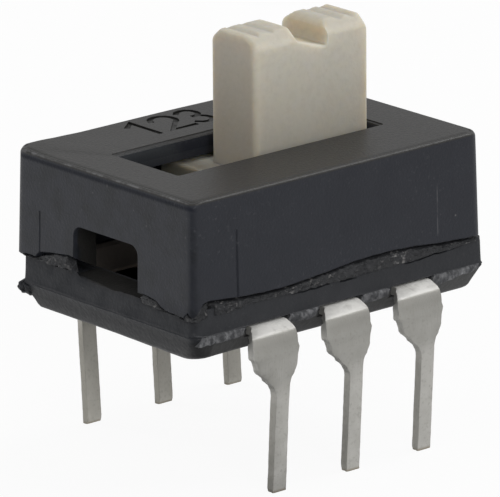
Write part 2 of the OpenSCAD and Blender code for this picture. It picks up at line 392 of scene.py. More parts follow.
def in_box(place, low, high, soft, strength=1.0):
    """A mask of the given strength in a box of millimetres, falling to 0 over a soft margin inside it."""
    tree = place.id_data
    middle = [(a + b) / 2 for a, b in zip(low, high)]
    half = [(b - a) / 2 for a, b in zip(low, high)]
    away = node(tree, "VectorMath", {0: place, 1: middle}, operation="SUBTRACT").outputs[0]
    span = node(tree, "VectorMath", {0: away}, operation="ABSOLUTE").outputs[0]
    room_left = node(tree, "VectorMath", {0: half, 1: span}, operation="SUBTRACT").outputs[0]
    apart = node(tree, "SeparateXYZ", {0: room_left}).outputs
    least = maths("MINIMUM", maths("MINIMUM", apart["X"], apart["Y"]), apart["Z"])
    return ranged(least, stop=soft, most=strength)


def effect(name, inputs, outputs):
    """An empty node group, with its named inputs and outputs. A colour is given by four parts."""
    group = bpy.data.node_groups.new(name, "ShaderNodeTree")
    for side, rows in (("INPUT", inputs), ("OUTPUT", outputs)):
        for label, value in rows.items():
            kind = "NodeSocketColor" if isinstance(value, tuple) else "NodeSocketFloat"
            group.interface.new_socket(label, in_out=side, socket_type=kind).default_value = value
    return group, group.nodes.new("NodeGroupInput").outputs, group.nodes.new("NodeGroupOutput").inputs


def moulded_skin():
    """What every moulded plastic here has: fine grain, slow cloudiness, and a few pale specks of lint."""
    usual = {"Grain per mm": 14.0, "Cloud per mm": 0.5, "Speck size": 0.12}
    tree, given, out = effect("moulded_skin", usual, {"Grain": 0.0, "Cloud": 0.0, "Specks": 0.0})
    place = in_millimetres(tree)
    feed(cloudy(place, given["Grain per mm"], 3)["Fac"], out["Grain"])
    feed(cloudy(place, given["Cloud per mm"], 4)["Fac"], out["Cloud"])
    # a speck sits in a few of the cells of a coarse cell pattern, drawn out by a bent vector
    bend = {"Factor": 0.12, "A": place, "B": cloudy(place, 3)["Color"]}
    bent = node(tree, "Mix", bend, data_type="VECTOR").outputs["Result"]
    cell = node(tree, "TexVoronoi", {"Vector": bent, "Scale": 3.6}).outputs
    near = ranged(cell["Distance"], 0.0, given["Speck size"], 1.0, 0.0)
    chosen = node(tree, "SeparateColor", {"Color": cell["Color"]}).outputs
    few = maths("GREATER_THAN", chosen["Red"], 0.8)
    feed(times(near, times(few, chosen["Green"])), out["Specks"])
    return tree


def painted(under, share, colour):
    """A colour laid over another by a mask."""
    coat = {"Factor": share, "A": under, "B": (*colour, 1)}
    return node(share.id_data, "Mix", coat, data_type="RGBA").outputs["Result"]


def surface_of(material):
    """The inputs of a material's surface."""
    return material.node_tree.nodes["Principled BSDF"].inputs


def paint_over(material, share, colour):
    """Mixes a colour over whatever the material's base colour is now, by a mask."""
    base_colour = surface_of(material)["Base Color"]
    feed(painted(base_colour.links[0].from_socket, share, colour), base_colour)


def dulled(material, share):
    """Takes gloss away by a mask."""
    level = surface_of(material)["Specular IOR Level"]
    full = level.links[0].from_socket if level.links else level.default_value
    feed(ranged(share, least=full, most=0.0), level)


def finish(name, **values):
    """A new material with some values of its surface set, its nodes, and the surface's inputs."""
    made = bpy.data.materials.new(name)
    made.use_nodes = True
    surface = surface_of(made)
    for label, value in values.items():
        surface[label.replace("_", " ")].default_value = value
    return made, made.node_tree, surface


def plastic(name, deep, pale, lint, roughness, spread, bump, grain=14.0, cloud=0.5, speck=0.1, shine=0.5):
    """A moulded plastic: two close colours clouded together, lint, and a fine grain in gloss and height."""
    made, tree, surface = finish(name, Specular_IOR_Level=shine)
    values = {"Grain per mm": grain, "Cloud per mm": cloud, "Speck size": speck}
    group = bpy.data.node_groups.get("moulded_skin") or moulded_skin()
    moulded = node(tree, "Group", values, node_tree=group).outputs
    clouded = painted((*deep, 1), moulded["Cloud"], pale)
    gloss = ranged(moulded["Grain"], least=roughness - spread, most=roughness + spread)
    relief = node(tree, "Bump", {"Distance": bump, "Height": moulded["Grain"]}).outputs["Normal"]
    feed(painted(clouded, moulded["Specks"], lint), surface["Base Color"])
    feed(gloss, surface["Roughness"])
    feed(relief, surface["Normal"])
    return made


# the housing's left, near and far faces and its top, in millimetres
left, near, far, high = housing_low.x / mm, housing_low.y / mm, housing_high.y / mm, top / mm
in_numerals = (-2.2, 2.0, high - 0.2), (1.0, 3.6, high - 0.016), 0.008
on_jamb = (-5.09, -1.6, 5.0), (-4.3, 1.3, 6.8), 0.03


def age_and_painted_light():
    """Dust in fine dots, a painted warm light on the top face, painted shade in the numerals, painted
    highlights along the rims, painted shade on the window's left jamb, a painted lighter patch on the slot's
    far wall, and a mottled left end.
    """
    tree, given, out = effect("age_and_painted_light", {"Colour": (0, 0, 0, 1)}, {"Colour": (0, 0, 0, 1)})
    place = in_millimetres(tree)
    dust = times(patchy(place, 9.0, 0.6, 0.8), patchy(place, 0.7, 0.35, 0.6), 0.3)
    # a painted warm light over the top face
    top_warm_light = (left - 1, near - 1, high - 0.08), (6, 5, high + 0.3), 0.02, 0.8
    coats = [(dust, (0.11, 0.11, 0.115)), (in_box(place, *top_warm_light), (0.0245, 0.0232, 0.0205)),
             # painted shade in the engraved numerals
             (in_box(place, *in_numerals), (0.008, 0.008, 0.007))]
    # painted highlights along the left and near top rims and a painted light line down the near side at the
    # right, broken up in patches
    rims = (((left - 1, near - 1, high - 0.055), (left + 0.13, far - 0.3, high + 0.1), 0.5, 0.42),
            ((left + 0.1, near - 1, high - 0.05), (-left, near + 0.1, high + 0.1), 0.1, 0.46),
            ((3.35, near - 1, 5.75), (3.4, near + 0.3, 7.1), 0.35, 0.3))
    for low, upper, strength, least in rims:
        rim_highlight = in_box(place, low, upper, 0.02, strength)
        broken_up = patchy(place, 4.0, least, least + 0.2)
        coats.append((times(rim_highlight, broken_up), (0.16, 0.16, 0.165)))
    # painted shade on the window's left jamb
    coats.append((in_box(place, *on_jamb), (0.019, 0.0185, 0.0175)))
    # a painted lighter patch high on the slot's far wall, towards the left
    slot_wall = in_box(place, (-4.3, 1.0, 7.4), (4, 1.9, high), 0.12)
    lit = in_box(place, (-6, -4, 7.5), (-1.3, 6, 9.6), 0.75)
    coats.append((times(slot_wall, lit), (0.042, 0.046, 0.05)))
    end = in_box(place, (left - 1, near - 1, 3.0), (left + 0.3, far + 1, high - 0.1), 0.15)
    mottled = patchy(place, 1.9, 0.42, 0.68, 6)
    coats.append((times(end, mottled), (0.011, 0.0125, 0.016)))
    colour = given["Colour"]
    for share, coat in coats:
        colour = painted(colour, share, coat)
    feed(colour, out["Colour"])
    return tree


def worn_and_shaded(material):
    """Ages a black plastic with painted light and shade, and dulls its gloss as painted shade in the numerals
    and on the window's left jamb, as a painted shadow under the rim, and along the seam lines, the lower left
    end and the slot's step.
    """
    tree, base_colour = material.node_tree, surface_of(material)["Base Color"]
    group = bpy.data.node_groups.get("age_and_painted_light") or age_and_painted_light()
    aged = node(tree, "Group", {"Colour": base_colour.links[0].from_socket}, node_tree=group)
    feed(aged.outputs["Colour"], base_colour)
    place = in_millimetres(tree)
    # painted shade in the numerals: their gloss dulled in patches
    numeral_shade_patches = patchy(place, 3.0, 0.3, 0.6)
    dulled(material, times(in_box(place, *in_numerals, 0.7), numeral_shade_patches))
    # painted shadow of the rim: a band of dulled gloss under the left end's rim
    rim_shadow = (left - 1, near + 0.05, high - 0.25), (left + 0.25, far - 0.2, high - 0.06), 0.07, 0.75
    line_near = (-3.72, near - 1, 5.2), (-3.58, near + 0.3, 7.3), 0.06, 0.15
    line_end = (left - 1, 2.56, 5.4), (left + 0.3, 2.68, 6.8), 0.05, 0.2
    low_end = (left - 1, near - 1, 3.0), (-4.8, far + 1, 5.6), 0.3, 0.25
    step = (-3.8, 1.1, 7.9), (3.7, 1.43, high - 0.022), 0.015, 0.5
    # the window's left jamb is dulled here too, as painted shade
    for box in (rim_shadow, (*on_jamb, 0.6), line_near, line_end, low_end, step):
        dulled(material, in_box(place, *box))


black_nylon = plastic("black_nylon", (0.014, 0.0157, 0.022), (0.0205, 0.0225, 0.0295), (0.15, 0.15, 0.15),
                      roughness=0.42, spread=0.08, bump=0.01 * mm, cloud=1.6, speck=0.13, shine=0.36)
worn_and_shaded(black_nylon)
fit(housing, "body", "housing_plastic", black_nylon, "housing")

# ---- Base ----
# The lower half of the case, an open tray moulded round the six contact pads. Its sides taper in
# below the parting line, which shows as a fine ridge, and each terminal leaves it through a notch.
base_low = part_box("base")[0]
parting = 4.55 * mm
base_half = Vector((5.12, 3.47)) * mm
pitch = 2.54 * mm


def block(name, middle, size):
    """A cutter: a plain block, its size in millimetres."""
    bm = bmesh.new()
    scaled = Matrix.Diagonal((size[0] * mm, size[1] * mm, size[2] * mm, 1))
    bmesh.ops.create_cube(bm, size=1, matrix=Matrix.Translation(middle) @ scaled)
    return as_object(name, bm)


def tray_ring(inset_l, inset_w, height, corner=0.15 * mm, near_left=None):
    """One ring of the base's wall, whose corner at the near left end may be rounder."""
    corners = (near_left or corner, corner, corner, corner)
    return ring(base_half.x - inset_l, base_half.y - inset_w, corners, height)


def bead_share(x, y):
    """1 where the weld has left a bead, 0 in the middle of each end, where a window leaves no room."""
    if abs(x) < base_half.x - 0.4 * mm:
        return 1.0
    return min(1.0, max(0.0, (y / mm - 1.3) / 0.2, (-1.3 - y / mm) / 0.2))


def bead_foot(x, y):
    """Height of the ragged lower edge of the bead."""
    ragged = 0.05 * ripple(x, y, 0.9, 3) + 0.03 * ripple(x, y, 0.2, 8)
    low = (0.1 * swell(x, -base_half.x, 1.9 * mm) - 0.12 * swell(x, base_half.x, 2.4 * mm)) * (y < -3 * mm)
    risen = 0.24 * (x < -4.9 * mm) * between([(1.05, 0), (1.45, 1)], y / mm)
    return (5.14 + risen - low + ragged) * mm


# depth of the crack along the near side, and along the left end
near_crack = [(-1.75, 0.0), (-1.45, 0.035), (0.3, 0.04), (0.8, 0.0), (2.2, 0.0), (2.6, 0.07), (3.5, 0.07),
              (4.0, 0.03), (4.5, 0.0)]
left_crack = [(-3.1, 0.0), (-2.95, 0.07), (-2.3, 0.07), (-2.2, 0.0), (1.4, 0.0), (1.8, 0.03), (2.4, 0.0)]


def crack(x, y):
    """Depth of the open crack under the bead, which closes here and there."""
    if x < -base_half.x + 0.3 * mm:
        open_here = between(left_crack, y / mm)
    elif y < 0:
        open_here = between(near_crack, x / mm)
    else:
        open_here = 0.06
    open_here += 0.1 * ripple(x, y, 0.3, 5) * (open_here > 0.02)
    before_right_end = min(1.0, max(0.0, (base_half.x - 0.3 * mm - x) / (0.4 * mm)))
    return mm * max(0.0, min(0.09, open_here)) * bead_share(x, y) * before_right_end


def roughened(rings, amount, size, start=0, stop=None):
    """Pushes the points of some rings in and out a little, as a worn mould does."""
    for points in rings[start:stop]:
        for p in points:
            push = noise.noise(p / size) * amount
            p += Vector((p.x, p.y, 0)).normalized() * push
    return rings


def sag(x, y):
    """How far the lower edge of the left end hangs down towards the near corner."""
    hang = between([(-3.3, 0.025), (-2.7, 0.05), (-1.5, 0.03), (0.5, 0.0)], y / mm)
    return mm * hang * swell(x, -base_half.x, 1.5 * mm)


base_rings = [tray_ring(1.0 * mm, 0.9 * mm, base_low.z, 0.1 * mm)]
for inset_l, inset_w, height, bend in ((0.46, 0.42, 0.0, 0.45), (0.36, 0.34, 0.012, 0.45),
                                       (0.29, 0.28, 0.05, 0.45), (0.25, 0.23, 0.11, 0.42),
                                       (0.19, 0.17, 0.25, 0.35), (0.12, 0.1, 0.4, 0.27)):
    def hanging(x, y):
        return base_low.z + height * mm - max(0, 1 - height / 0.25) * sag(x, y)
    base_rings.append(tray_ring(inset_l * mm, inset_w * mm, hanging, near_left=bend * mm))
for inset, height in ((0.035, -0.09), (-0.005, -0.05), (-0.01, -0.03), (0.012, -0.015), (-0.025, 0.01),
                      (-0.03, 0.035), (0.005, 0.06), (0.01, 0.12), (0.02, 0.3)):
    at_end = 0.25 if abs(height) < 0.07 else 1.0
    line = tray_ring(inset * at_end * mm, 0.6 * inset * mm, parting + height * mm, near_left=0.2 * mm)
    for p in line:
        p += Vector((0, 0, 0.09 * mm * swell(p.x, -base_half.x, 0.5 * mm)))
    base_rings.append(roughened([line], 0.03 * mm * (abs(height) < 0.06), 0.12 * mm)[0])
roughened(base_rings, 0.012 * mm, 0.4 * mm, 2)
# above the bead's foot the wall steps back, so that the crack has somewhere to go
for inset, rise, depth in ((0.03, -0.045, 0.0), (0.034, -0.03, 0.6), (0.036, -0.02, 1.0), (0.04, 0.06, 1.0)):
    line = tray_ring(inset * mm, 0.6 * inset * mm, lambda x, y: bead_foot(x, y) + rise * mm)
    for p in line:
        sunk = depth * crack(p.x, p.y)
        p.x -= math.copysign(sunk, p.x) * (abs(p.x) > base_half.x - 0.3 * mm)
        p.y -= math.copysign(sunk, p.y) * (abs(p.y) > base_half.y - 0.3 * mm)
    base_rings.append(line)
for inset, height in ((0.055, 0.74), (0.08, 0.76)):
    def sill(x, y):
        return parting + (height - (0.09 - 0.05 * y / mm) * (1 - bead_share(x, y))) * mm
    base_rings.append(tray_ring(inset * mm, 0.6 * inset * mm, sill))
for height in (parting + 0.76 * mm, parting):
    base_rings.append(ring(4.25 * mm, 2.6 * mm, 0.1 * mm, height))
base = as_object("base_tray", skin(base_rings))
notches = []
for column in (-1, 0, 1):
    for side in (-1, 1):
        middle = column * pitch, side * 3.5 * mm, parting - 0.12 * mm
        notches.append(block("notch_tool", middle, (1.52, 0.4, 0.34)))
cut(base, notches)
base_nylon = plastic("base_nylon", (0.016, 0.0172, 0.0205), (0.0265, 0.028, 0.032), (0.2, 0.2, 0.2),
                     roughness=0.5, spread=0.12, bump=0.018 * mm, grain=9.0, cloud=2.2, speck=0.14,
                     shine=0.35)
worn_and_shaded(base_nylon)
place = in_millimetres(base_nylon.node_tree)
# painted light inside, warm and brightest on the floor, so the shaded inside shows through the windows; a
# painted reflection of the table along the near side's lower band; darker at the left
# painted light on the inside and floor of the tray
lit_inside = (-4.2, -2.9, 4.4), (4.2, 2.95, 5.6), 0.08
lit_floor = (-4.2, -2.9, 4.4), (4.2, 2.95, 4.64), 0.04
# painted reflection of the table on the near side's lower band
near_reflection_band = (-5.0, -3.7, 3.7), (5.2, -2.6, 4.5), 0.08, 0.8
left_end = (-5.5, -3.5, 3.7), (-4.3, 3.5, 4.52), 0.08, 0.6
for box, colour in ((lit_inside, (0.17, 0.152, 0.138)), (lit_floor, (0.34, 0.29, 0.25)),
                    (near_reflection_band, (0.06, 0.0595, 0.059)), (left_end, (0.01, 0.0105, 0.0115))):
    paint_over(base_nylon, in_box(place, *box), colour)
# painted reflection of the white table on the rounded bottom edges, in patches
foot = in_box(place, (-6, -5, 3.6), (6, 5, 3.99), 0.09)
paint_over(base_nylon, times(foot, patchy(place, 3.0, 0.1, 0.5)), (0.085, 0.085, 0.086))
fit(base, "body", "base_plastic", base_nylon, "base")

# ---- Parting flash ----
# Where the strip of terminals was clamped in the mould, the plastic between them was sheared off.
# It stays as a frosted grey ledge between the notches, and as a torn stub at one corner.
ledge_top, ledge_foot = parting + 0.045 * mm, parting - 0.2 * mm


def torn_ledge(name, start, stop, side, thin=0.0):
    """A ledge from start to stop along one side. Its broken ends slant, and it may thin out to the right."""
    steps = max(12, round((stop - start) / (0.03 * mm)))
    profile = [(-0.25, 1), (0.015, 1), (0.05, 0.93), (0.08, 0.75), (0.07, 0.5), (0.08, 0.22), (0.035, 0),
               (-0.25, 0)]
    rings = []
    for i in range(steps + 1):
        x = start + (stop - start) * i / steps
        taper = min(1, 0.25 + min(i, steps - i) * 0.1)
        ragged = 0.25 * noise.noise(Vector((x / (0.3 * mm), side, 2)))
        foot = ledge_foot + (thin * (i / steps - 0.4) + ragged) * 0.2 * mm
        points = []
        for reach, level in profile:
            z = foot + (ledge_top - foot) * level
            lean = x + 0.5 * (z - ledge_top)
            rough = noise.noise(Vector((lean / (0.2 * mm), z / (0.4 * mm), side))) * 0.035
            rough += noise.noise(Vector((lean / (0.05 * mm), z / (0.09 * mm), side + 4))) * 0.014
            out = (reach + rough) * taper if reach > 0 else reach
            points.append(Vector((lean, side * (base_half.y + out * mm), z)))
        rings.append(points)
    return as_object(name, skin(rings))


# sheared nylon: whitened in fine slanting streaks
frosted_nylon = plastic("frosted_nylon", (0.01, 0.0105, 0.012), (0.085, 0.087, 0.094), (0.3, 0.3, 0.3),
                        roughness=0.7, spread=0.1, bump=0.04 * mm, grain=16.0, cloud=6.0, speck=0.2)
tree = frosted_nylon.node_tree
slant = {"Vector": on_object(tree), "Rotation": (0, math.radians(-30), 0), "Scale": (8 / mm, 6 / mm, 5 / mm)}
slanting = node(tree, "Mapping", slant).outputs["Vector"]
paint_over(frosted_nylon, patchy(slanting, 1, 0.42, 0.8, 4), (0.22, 0.222, 0.23))
gap = 0.78 * mm
spans = [(-base_half.x + 0.3 * mm, -pitch - gap, 0), (-pitch + gap, -gap, 0), (gap, pitch - gap, 0),
         (pitch + gap, base_half.x - 0.17 * mm, 0.8)]
for side, name in ((-1, "near"), (1, "far")):
    for i, (start, stop, thin) in enumerate(spans):
        ledge = torn_ledge(f"parting_ledge_{name}_{i + 1}", start, stop, side, thin)
        fit(ledge, "body", "base_plastic", frosted_nylon, crease=50)

stub = bmesh.new()
bmesh.ops.create_icosphere(stub, subdivisions=4, radius=1)
stub_middle = Vector((-4.845, 3.46, 4.385))
lay = Matrix.Rotation(math.radians(28), 3, "Y")
for v in stub.verts:
    flat = Vector((v.co.x, v.co.y, v.co.z * (1 - 0.25 * v.co.x)))
    v.co = (stub_middle + lay @ Vector((0.36 * flat.x, 0.27 * flat.y, 0.17 * flat.z))) * mm
    v.co += Vector((noise.noise(v.co / (0.14 * mm)), noise.noise(v.co / (0.14 * mm) + Vector((9, 0, 0))),
                    noise.noise(v.co / (0.12 * mm) + Vector((0, 9, 0))))) * 0.11 * mm
fit(as_object("torn_stub", stub), "body", "base_plastic", base_nylon, crease=60)

# ---- Weld bead ----
# Nylon that the weld pressed out between housing and base. It set as a rough, crumbly strip under
# the housing's wavy edge, thickest beside the left window, and is missing under the windows.
bead_rings = []
bead_line = oblong(base_half.x - 0.04 * mm, base_half.y - 0.03 * mm, 0.15 * mm, along=260, across=180, bend=8)
for level, out in ((1.2, -0.14), (1.0, -0.05), (0.97, 0.02), (0.88, 0.055), (0.76, 0.07), (0.64, 0.055),
                   (0.52, 0.07), (0.4, 0.055), (0.28, 0.065), (0.16, 0.06), (0.06, 0.05), (0.0, 0.0),
                   (0.0, -0.14)):
    points = []
    for x, y in bead_line:
        at_left, at_right = x < -base_half.x + 0.3 * mm, x > base_half.x - 0.3 * mm
        parted = max(0.0, min(0.06, 0.03 + 0.2 * ripple(x, y, 0.3, 2))) if at_left else 0.075
        crest = weld_line(x * housing_half.x / base_half.x, y * housing_half.y / base_half.y) - parted * mm
        foot = bead_foot(x, y)
        z = foot + max(0.05 * mm, crest - foot) * level
        z = z * bead_share(x, y) + (parting + (0.35 + 0.1 * level) * mm) * (1 - bead_share(x, y))
        at = Vector((x, y, z))
        lump = noise.noise(at / (0.19 * mm)) * 0.06 + noise.noise(at / (0.07 * mm)) * 0.045
        lump += noise.noise(at / (0.03 * mm)) * 0.015
        push = 0.07 * swell(y, 1.9 * mm, 1.2 * mm) * at_left + 0.03 * at_left
        hole = 0.22 * swell(x, -4.5 * mm, 0.2 * mm) * (y < -3 * mm)
        lump *= 1 - 0.85 * at_right
        flush = at_right and out > 0
        reach = (out + (lump + push - hole) * (0 < level < 1)) * mm * (not flush)
        reach = reach * bead_share(x, y) - (1 - bead_share(x, y)) * 0.17 * mm
        outward = Vector((max(0, abs(x) - base_half.x + 0.25 * mm) * (1 if x > 0 else -1),
                          max(0, abs(y) - base_half.y + 0.25 * mm) * (1 if y > 0 else -1))).normalized()
        z += 0.3 * lump * mm * (0 < level < 1)
        points.append(Vector((x + outward.x * reach, y + outward.y * reach, z)))
    bead_rings.append(points)
weld_bead = as_object("weld_bead", skin(bead_rings, closed=True))

# nylon that foamed as it was pressed out: dark, pitted, its crumbs' tips pale in places
crumbly_nylon = plastic("crumbly_nylon", (0.0095, 0.0102, 0.012), (0.03, 0.031, 0.0345), (0.2, 0.2, 0.2),
                        roughness=0.6, spread=0.15, bump=0.05 * mm, grain=9.0, cloud=3.0, speck=0.2)
place = in_millimetres(crumbly_nylon.node_tree)
tips = times(patchy(place, 9.0, 0.56, 0.68), patchy(place, 1.3, 0.4, 0.6, 2))
paint_over(crumbly_nylon, tips, (0.2, 0.194, 0.19))
fit(weld_bead, "body", "bead_plastic", crumbly_nylon, "seam_bead", crease=60)

# ---- Terminals ----
# Six legs stamped from tinned copper strip. Each lies flat in the base, turns down over a bend with
# a one-sided shoulder, and narrows to a leg that leans in a little. The shoulder keeps the stubs of
# the tie bar that was cut away.
strip_top = 4.55 * mm
strip_t = 0.24 * mm
leg_lean = math.radians(3.5)
leg_face = 3.81 * mm + strip_t / 2
bend_drop = strip_top - 0.74 * mm
bend_out = leg_face + bend_drop * math.tan(leg_lean) - 0.68 * mm
# the outside of the bend, out and down: a slope, a tight turn, and the rest of the curve
bend_line = [(0, 0), (0.03, 0.002), (0.07, 0.012), (0.16, 0.048), (0.24, 0.084), (0.34, 0.125), (0.43, 0.166),
             (0.46, 0.186), (0.485, 0.212), (0.51, 0.248), (0.55, 0.315), (0.59, 0.4), (0.625, 0.495),
             (0.655, 0.61), (0.672, 0.68), (0.68, 0.74)]


def along_strip():
    """Stations down the strip: distance out, height, and the direction its outer face looks in."""
    inner_end = 0.9 * mm
    stations = [(inner_end + (bend_out - inner_end) * i / 12, strip_top, 90.0, 0.0) for i in range(12)]
    last = -math.degrees(leg_lean)
    run = 0
    for k, (out, down) in enumerate(bend_line):
        before, after = bend_line[max(0, k - 1)], bend_line[min(k + 1, len(bend_line) - 1)]
        look = 90 - math.degrees(math.atan2(after[1] - before[1], after[0] - before[0]))
        run += math.dist(before, (out, down))
        if k == len(bend_line) - 1:
            look = last
        stations.append((bend_out + out * mm, strip_top - down * mm, look, run))
    out, height = stations[-1][:2]
    steps = 46
    for i in range(1, steps + 1):
        f = i / steps
        leaning = out - height * math.tan(leg_lean) * f
        stations.append((leaning, height * (1 - f), last, run + f * height / mm))
    return stations


# both edges of the strip, by the length along it from where it leaves the base
wide_edge = [(0, -0.61), (0.24, -0.78), (0.36, -0.86), (0.53, -0.97), (0.71, -1.02), (0.86, -1.04),
             (0.95, -1.06), (1.08, -1.03), (1.14, -0.97), (1.42, -0.89), (1.74, -0.575), (1.94, -0.36),
             (2.1, -0.265), (2.24, -0.235)]
close_edge = [(0, 0.61), (0.3, 0.61), (0.6, 0.56), (0.9, 0.5), (0.98, 0.53), (1.06, 0.49), (1.14, 0.455),
              (1.44, 0.45), (1.64, 0.37), (1.82, 0.26), (1.99, 0.235)]


def terminal(name, column, side, seed, aside):
    """One terminal. Below the shoulder its leg stands aside a little from the middle of its hole."""
    rings = []
    for out, height, look, along in along_strip():
        z = height / mm
        wander = 0.012 * noise.noise(Vector((z * 0.9, seed, 0)))
        a = between(wide_edge, along) + wander + 0.009 * noise.noise(Vector((z * 6, seed, 5)))
        b = between(close_edge, along) + wander + 0.009 * noise.noise(Vector((z * 6, seed, 9)))
        burr = 0.015 * swell(along, 0.95, 0.5) + 0.01 * swell(along, 1.7, 0.5)
        sink = 0.01 * swell(along, 1.3, 0.6)
        thick = strip_t / mm * (1 - 0.18 * swell(z, 0, 0.12))
        coined = 0.06 * swell(along, 1.6, 0.6)
        # across the strip and down from its outer face: the coined edge, the face, the other edge, the back
        section = [(a, 0.045 + coined), (a + 0.012 + 0.2 * coined, 0.014 + 0.3 * coined),
                   (a + 0.05 + coined, 0.0), ((a + b) / 2, sink), (b - 0.05, 0.0), (b - 0.012, 0.014),
                   (b, 0.045), (b + 0.01, thick * 0.6), (b, thick - 0.02), (b - 0.03, thick),
                   (a + 0.03, thick), (a - burr, thick - 0.004), (a - burr * 0.9, thick - 0.06),
                   (a + 0.02, thick * 0.5)]
        face = Vector((0, math.cos(math.radians(look)), math.sin(math.radians(look))))
        points = []
        for across, deep in section:
            p = Vector((0, out, height)) - face * deep * mm
            shift = aside * mm * (1 - swell(z, 4.2, 2.2))
            points.append(Vector((column * pitch - side * across * mm + shift, side * p.y, max(0, p.z))))
        rings.append(points)
    return as_object(name, skin(rings))


def tinned_strip():
    """Tin over copper: soft metal with fine rolling lines down the strip, dull blotches and a bare tip."""
    made, tree, surface = finish("tinned_strip", Metallic=0.5, Specular_IOR_Level=0.3)
    place = in_millimetres(tree)
    height = node(tree, "SeparateXYZ", {0: place}).outputs
    blotch = cloudy(place, 2.6, 5)["Fac"]
    tin = painted((0.45, 0.44, 0.405, 1), blotch, (0.66, 0.65, 0.62))
    bare = ranged(height["Z"], 0.015, 0.09, 0.75, 0.0)
    feed(painted(tin, bare, (0.27, 0.225, 0.15)), surface["Base Color"])
    feed(ranged(blotch, least=0.42, most=0.64), surface["Roughness"])
    drawn = {"Vector": on_object(tree), "Scale": (26 / mm, 3 / mm, 3 / mm)}
    rolled = cloudy(node(tree, "Mapping", drawn).outputs["Vector"], 1, 3)["Fac"]
    relief = node(tree, "Bump", {"Distance": 0.012 * mm, "Height": rolled}).outputs["Normal"]
    feed(relief, surface["Normal"])
    # darker on the shoulder, with painted shade round the lower half of the bend, dirtier in the far row,
    # and a painted highlight in patches on the up-facing slope of the bend. The sheared edge that faces
    # left has a painted shadow line where it starts, a painted highlight on the shoulder, and is darker down
    # on the leg.
    facing = node(tree, "SeparateXYZ", {0: node(tree, "NewGeometry", {}).outputs["Normal"]}).outputs
    sheared = ranged(facing["X"], -0.3, -0.7)
    high_up = ranged(height["Z"], 2.6, 3.15)
    # painted shade round the lower half of the bend
    bend = times(ranged(height["Z"], 3.65, 4.15), ranged(facing["Z"], 0.85, 0.6))
    # painted highlight on the up-facing slope of the bend, in patches
    slope_highlight = times(ranged(facing["Z"], 0.75, 0.9), patchy(place, 3.2, 0.1, 0.5))
    low_down = ranged(height["Z"], 2.9, 2.4)
    far_row = ranged(height["Y"], 2.0, 3.0)
    dots = patchy(place, 12.0, 0.55, 0.75)
    # painted shadow line where the left-facing sheared edge starts
    gap_shadow = times(sheared, ranged(facing["X"], -0.97, -0.85))
    darker_tin = (0.24, 0.235, 0.215)
    for share, strength, colour in ((high_up, 0.4, darker_tin), (bend, 0.62, darker_tin),
                                    (far_row, 0.25, (0.3, 0.265, 0.18)), (dots, 0.35, (0.25, 0.24, 0.21)),
                                    (slope_highlight, 0.92, (0.82, 0.81, 0.78)),
                                    (gap_shadow, 0.35, (0.1, 0.098, 0.085)),
                                    # painted highlight on the left-facing sheared edge, high up on the
                                    # shoulder
                                    (times(sheared, high_up), 0.4, (0.7, 0.69, 0.66)),
                                    (times(sheared, low_down), 0.4, (0.22, 0.21, 0.18))):
        paint_over(made, times(share, strength), colour)
    return made


tin_plate = tinned_strip()
for i, aside in enumerate((-0.035, 0.012, 0.01, 0.028, 0.018, -0.025)):
    leg = terminal(f"stamped_terminal_{i + 1}", i % 3 - 1, -1 if i < 3 else 1, 11.5 + 7.3 * i, aside)
    fit(leg, "body", "terminal_tin", tin_plate, f"terminal_{i + 1}", crease=40)

# ---- Slide ----
# The knob and the carriage under it, one moulding in natural nylon. The top of the knob has grip
# grooves on both lobes, a bevel along each side, and a round-bottomed notch between the lobes.
slide_low, slide_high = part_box("actuator")
slide_x = (slide_low.x + slide_high.x) / 2
knob_half = Vector((1.975, 0.925)) * mm
knob_top = slide_high.z
carriage_half = Vector(((slide_high.x - slide_low.x) / 2, (slide_high.y - slide_low.y) / 2))
carriage_top = 7.58 * mm
upright_round = {-1: 0.17 * mm, 1: 0.1 * mm}
# how far the knob's top lies below its highest point, along its length: the grip's crests and valleys,
# and the notch, whose floor rises from the foot of its steep right wall to a step on the left
knob_dips = [(-1.98, 0.01), (-1.84, -0.005), (-1.645, 0.075), (-1.38, -0.02), (-1.135, 0.06), (-0.82, -0.045),
             (-0.6, -0.04), (-0.568, 0.04), (-0.56, 0.26), (-0.5, 0.34), (-0.24, 0.42), (0.08, 0.52),
             (0.4, 0.61), (0.49, 0.62), (0.53, 0.56), (0.555, 0.42), (0.565, 0.19), (0.62, 0.1), (0.7, 0.035),
             (0.8, 0.005), (0.96, 0.01), (1.19, 0.105), (1.46, 0.05), (1.68, 0.12), (1.89, 0.035),
             (1.98, 0.05)]


def lobe_top(x):
    """Height of the knob along its middle, before the side bevels."""
    places = [place for place, dip in knob_dips]
    k = max(1, min(len(places) - 1, sum(place < x / mm for place in places)))
    (a, low), (b, high) = knob_dips[k - 1], knob_dips[k]
    t = min(1, max(0, (x / mm - a) / (b - a)))
    if abs(x) > 0.6 * mm:
        t = t * t * (3 - 2 * t)
    return knob_top - (low + (high - low) * t) * mm


def knob_height(x, y):
    """Height of the knob's top at a place, with its side bevels and soft edges."""
    bevel_w, bevel_h, blend = 0.36, 0.31, 0.004
    over = abs(y) / mm - (knob_half.y / mm - bevel_w)
    bevel = knob_top - (over + math.sqrt(over ** 2 + blend)) / 2 * bevel_h / bevel_w * mm
    z = min(lobe_top(x), bevel)
    end_soft = 0.09 * mm if x < 0 else 0.17 * mm
    for edge, soft in ((knob_half.x - abs(x), end_soft), (knob_half.y - abs(y), 0.09 * mm)):
        if edge < soft:
            z -= soft - math.sqrt(max(0, soft ** 2 - (soft - edge) ** 2))
    return z


